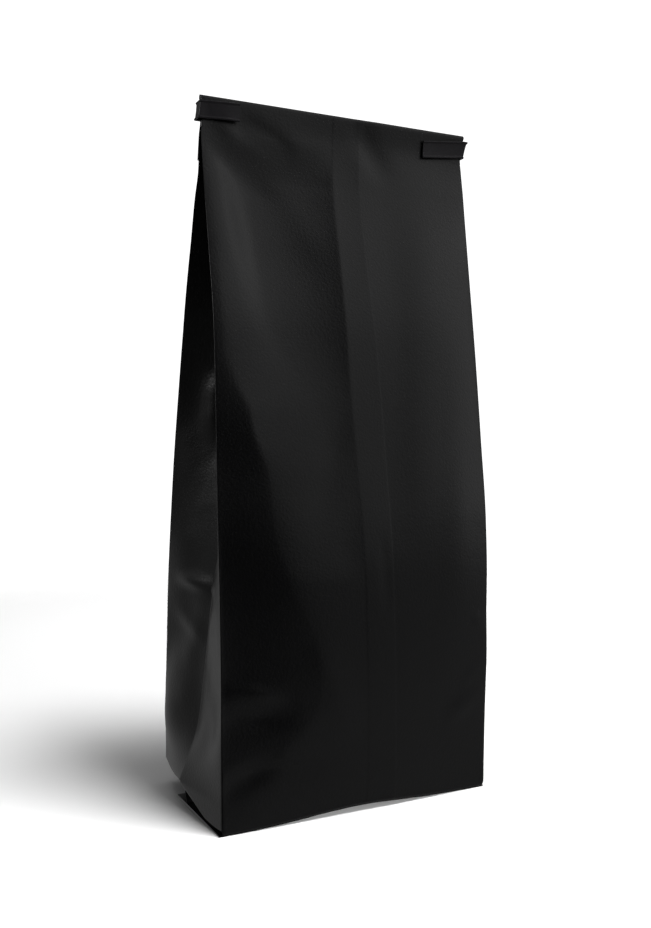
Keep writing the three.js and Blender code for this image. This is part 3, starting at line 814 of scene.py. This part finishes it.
def tie_places():
    """Stations along the tie: (x, or None in a bend, side, height of its middle, turn, lift).

    The turn is 0 on the near side and 1 on the far side.
    """
    left_tab = tie_tab(TIE_LEFT_END_X, -1, TIE_LEFT_Z, TIE_LEFT_RISE, TIE_LEFT_LIFT)
    right_tab = tie_tab(TIE_RIGHT_END_X, 1, TIE_RIGHT_Z, TIE_RIGHT_RISE, TIE_RIGHT_LIFT)
    return (left_tab + tie_bend(-1, TIE_LEFT_Z, 0, 1) + tie_back()
            + tie_bend(1, TIE_RIGHT_Z, 1, 0) + right_tab[::-1])


def tie_centre(place, z):
    """Plan position of the tie's middle layer at a station and a height."""
    x, side, middle_z, turn, lift = place
    stand = TIE_GAP + TIE_WIRE / 2
    bag_x = x if x is not None else side * (reach(side, z) - EDGE_ROUND)
    front = near_y(bag_x, z) - stand - lift
    back = edge_y(bag_x, z) + mouth_gap(z) + FLAP_OFFSET + stand
    if x is not None:
        return np.array([x, front if turn == 0 else back])
    radius = (back - front) / 2
    angle = turn * math.pi
    slack, lean = (TIE_LEFT_SLACK, TIE_LEFT_LEAN) if side < 0 else (TIE_RIGHT_SLACK, TIE_RIGHT_LEAN)
    centre_x = reach(side, z) + stand + slack + lean * (z - middle_z) - radius
    out = math.sin(angle) ** TIE_BEND_SQUARENESS
    forward = math.copysign(abs(math.cos(angle)) ** TIE_BEND_SQUARENESS, math.cos(angle))
    return np.array([side * (centre_x + radius * out), (front + back) / 2 - radius * forward])


def tie_section():
    """(half thickness, height) round the section: a thin web between two round wires."""
    half = TIE_HEIGHT / 2
    radius = TIE_WIRE / 2
    rise = np.concatenate([np.linspace(half - TIE_FACE_HEIGHT, half - radius, TIE_FACE_POINTS),
                           half - radius + radius * np.sin(np.radians(TIE_WIRE_DEGREES))])
    heights = np.concatenate([-rise[::-1], [0], rise])
    from_wire = np.abs(heights) - (half - radius)
    round_wire = np.sqrt(np.maximum(0, radius ** 2 - from_wire ** 2))
    thick = np.where(from_wire > 0, round_wire, np.maximum(round_wire, TIE_WEB / 2))
    front = list(zip(thick, heights))
    return front + [(-t, h) for t, h in front[::-1]]


def build_tie(material):
    places = tie_places()
    section = tie_section()
    middles = [tie_centre(place, place[2]) for place in places]
    points = []
    for i, place in enumerate(places):
        along = middles[min(len(places) - 1, i + 1)] - middles[max(0, i - 1)]
        along = along / np.linalg.norm(along)
        for thick, height in section:
            z = place[2] + height
            x, y = tie_centre(place, z)
            points.append((x - along[1] * thick, y + along[0] * thick, z))
    size = len(section)
    faces = band_faces(len(places), size)
    last = (len(places) - 1) * size
    k = np.arange(size // 2 - 1)
    faces += quads(k, size - 1 - k, size - 2 - k, k + 1)
    faces += quads(last + k, last + k + 1, last + size - 2 - k, last + size - 1 - k)
    return add_mesh("tie_band", points, faces, material, TIE_SHARP_DEGREES)


# ---------------------------------------------------------------- materials

def new_material(name, colour):
    material = bpy.data.materials.new(name)
    material.use_nodes = True
    shader = material.node_tree.nodes["Principled BSDF"]
    shader.inputs["Base Color"].default_value = (*colour, 1)
    return material, material.node_tree.nodes, material.node_tree.links, shader


def add_noise(nodes, links, place, scale, detail):
    noise = nodes.new("ShaderNodeTexNoise")
    noise.inputs["Scale"].default_value = scale
    noise.inputs["Detail"].default_value = detail
    links.new(place.outputs["Object"], noise.inputs["Vector"])
    return noise.outputs["Fac"]


def add_range(nodes, links, source, low, high):
    span = nodes.new("ShaderNodeMapRange")
    span.inputs["To Min"].default_value = low
    span.inputs["To Max"].default_value = high
    links.new(source, span.inputs["Value"])
    return span.outputs["Result"]


def film_material():
    """Satin black laminate: almost no colour of its own under a soft, slightly uneven sheen."""
    material, nodes, links, shader = new_material("satin_film", FILM_COLOUR)
    shader.inputs["IOR"].default_value = FILM_IOR
    place = nodes.new("ShaderNodeTexCoord")
    patches = add_noise(nodes, links, place, *FILM_PATCHES)
    links.new(add_range(nodes, links, patches, *FILM_ROUGHNESS), shader.inputs["Roughness"])
    bump = nodes.new("ShaderNodeBump")
    bump.inputs["Strength"].default_value = FILM_GRAIN_STRENGTH
    bump.inputs["Distance"].default_value = FILM_GRAIN_HEIGHT
    links.new(add_noise(nodes, links, place, *FILM_GRAIN), bump.inputs["Height"])
    links.new(bump.outputs["Normal"], shader.inputs["Normal"])
    return material


def tie_material():
    """Black coating with a faint purple cast, a little rougher than the film."""
    material, nodes, links, shader = new_material("tie_coating", TIE_COLOUR)
    shader.inputs["Specular IOR Level"].default_value = TIE_SPECULAR
    place = nodes.new("ShaderNodeTexCoord")
    grain = add_noise(nodes, links, place, *TIE_GRAIN)
    links.new(add_range(nodes, links, grain, *TIE_ROUGHNESS), shader.inputs["Roughness"])
    return material


def floor_material():
    """Pale and matt, fading out into the white backdrop."""
    material, nodes, links, shader = new_material("pale_floor", FLOOR_COLOUR)
    shader.inputs["Roughness"].default_value = FLOOR_ROUGHNESS
    shader.inputs["Specular IOR Level"].default_value = 0.0
    place = nodes.new("ShaderNodeTexCoord")
    length = nodes.new("ShaderNodeVectorMath")
    length.operation = "LENGTH"
    fade = nodes.new("ShaderNodeMapRange")
    fade.interpolation_type = "SMOOTHSTEP"
    fade.inputs["From Min"].default_value, fade.inputs["From Max"].default_value = FLOOR_FADE
    fade.inputs["To Min"].default_value, fade.inputs["To Max"].default_value = 1, 0
    links.new(place.outputs["Object"], length.inputs[0])
    links.new(length.outputs["Value"], fade.inputs["Value"])
    links.new(fade.outputs["Result"], shader.inputs["Alpha"])
    return material


# ---------------------------------------------------------------- floor, lights, camera

def direction(azimuth, elevation):
    """Unit vector; azimuth 0 is -Y and grows towards +X."""
    a, e = math.radians(azimuth), math.radians(elevation)
    return (math.sin(a) * math.cos(e), -math.cos(a) * math.cos(e), math.sin(e))


def build_floor():
    """A disc of 1 m radius, which the film doesn't mirror."""
    mesh = bpy.data.meshes.new("floor")
    turns = np.linspace(0, 2 * np.pi, FLOOR_CORNERS, endpoint=False)
    rim = [(math.cos(turn), math.sin(turn), 0) for turn in turns]
    mesh.from_pydata(rim, [], [tuple(range(FLOOR_CORNERS))])
    mesh.materials.append(floor_material())
    floor = bpy.data.objects.new("floor", mesh)
    floor.visible_glossy = False
    bpy.context.scene.collection.objects.link(floor)


def softbox(name, azimuth, elevation, distance, size, radiance, mirrored):
    """A rectangular light at a bearing from the bag, facing it, with the given radiance.

    It is either mirrored by the film, or it lights the floor and casts the shadow.
    """
    light = bpy.data.lights.new(name, "AREA")
    light.shape = "RECTANGLE"
    light.size, light.size_y = size
    light.energy = math.pi * size[0] * size[1] * radiance
    box = bpy.data.objects.new(name, light)
    away = Vector(direction(azimuth, elevation))
    box.location = Vector(SOFTBOX_AIM) + away * distance
    box.rotation_euler = (-away).to_track_quat("-Z", "Y").to_euler()
    box.visible_camera = False
    box.visible_glossy = mirrored
    box.visible_diffuse = not mirrored
    bpy.context.scene.collection.objects.link(box)


def build_lights():
    for settings in MIRRORED_SOFTBOXES:
        softbox(*settings, mirrored=True)
    for settings in FLOOR_SOFTBOXES:
        softbox(*settings, mirrored=False)


def add_background(nodes):
    background = nodes.new("ShaderNodeBackground")
    background.inputs["Color"].default_value = (1, 1, 1, 1)
    return background


def add_room(nodes, links):
    """A dim even room that is darker behind the camera."""
    azimuth, elevation, inner, outer = DARK_SIDE
    place = nodes.new("ShaderNodeTexCoord")
    facing = nodes.new("ShaderNodeVectorMath")
    facing.operation = "DOT_PRODUCT"
    facing.inputs[1].default_value = direction(azimuth, elevation)
    shade = nodes.new("ShaderNodeMapRange")
    shade.interpolation_type = "SMOOTHSTEP"
    shade.inputs["From Min"].default_value = math.cos(math.radians(outer))
    shade.inputs["From Max"].default_value = math.cos(math.radians(inner))
    shade.inputs["To Min"].default_value = ROOM_GLOW
    shade.inputs["To Max"].default_value = 0
    room = add_background(nodes)
    links.new(place.outputs["Generated"], facing.inputs[0])
    links.new(facing.outputs["Value"], shade.inputs["Value"])
    links.new(shade.outputs["Result"], room.inputs["Strength"])
    return room


def build_world():
    """White to the camera, and the dim room to the bag."""
    world = bpy.data.worlds.new("studio")
    bpy.context.scene.world = world
    world.use_nodes = True
    nodes, links = world.node_tree.nodes, world.node_tree.links
    nodes.clear()
    room = add_room(nodes, links)
    white = add_background(nodes)
    white.inputs["Strength"].default_value = BACKDROP_WHITE
    path = nodes.new("ShaderNodeLightPath")
    mix = nodes.new("ShaderNodeMixShader")
    output = nodes.new("ShaderNodeOutputWorld")
    links.new(path.outputs["Is Camera Ray"], mix.inputs["Fac"])
    links.new(room.outputs["Background"], mix.inputs[1])
    links.new(white.outputs["Background"], mix.inputs[2])
    links.new(mix.outputs["Shader"], output.inputs["Surface"])
    bpy.context.scene.view_settings.view_transform = "Standard"


def build_camera():
    data = bpy.data.cameras.new("camera")
    data.sensor_width = SENSOR
    data.lens = FOCAL_PIXELS / LONG_SIDE_PIXELS * SENSOR
    data.clip_start = CLIP_START
    camera = bpy.data.objects.new("camera", data)
    camera.location = Vector(CAMERA_PLACE) * MM
    look = Vector((math.sin(CAMERA_HEADING) * math.cos(CAMERA_DROP),
                   math.cos(CAMERA_HEADING) * math.cos(CAMERA_DROP),
                   -math.sin(CAMERA_DROP)))
    camera.rotation_euler = look.to_track_quat("-Z", "Y").to_euler()
    bpy.context.scene.collection.objects.link(camera)
    bpy.context.scene.camera = camera


# ---------------------------------------------------------------- the scene

def dress(piece, node):
    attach(piece, "root")
    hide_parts(node)


def main():
    build_camera()
    build_floor()
    build_lights()
    build_world()
    film = film_material()
    for build in (build_body, build_flap, build_near_strip, build_far_strip):
        dress(build(film), "bag")
    dress(build_tie(tie_material()), "tin_tie")


main()
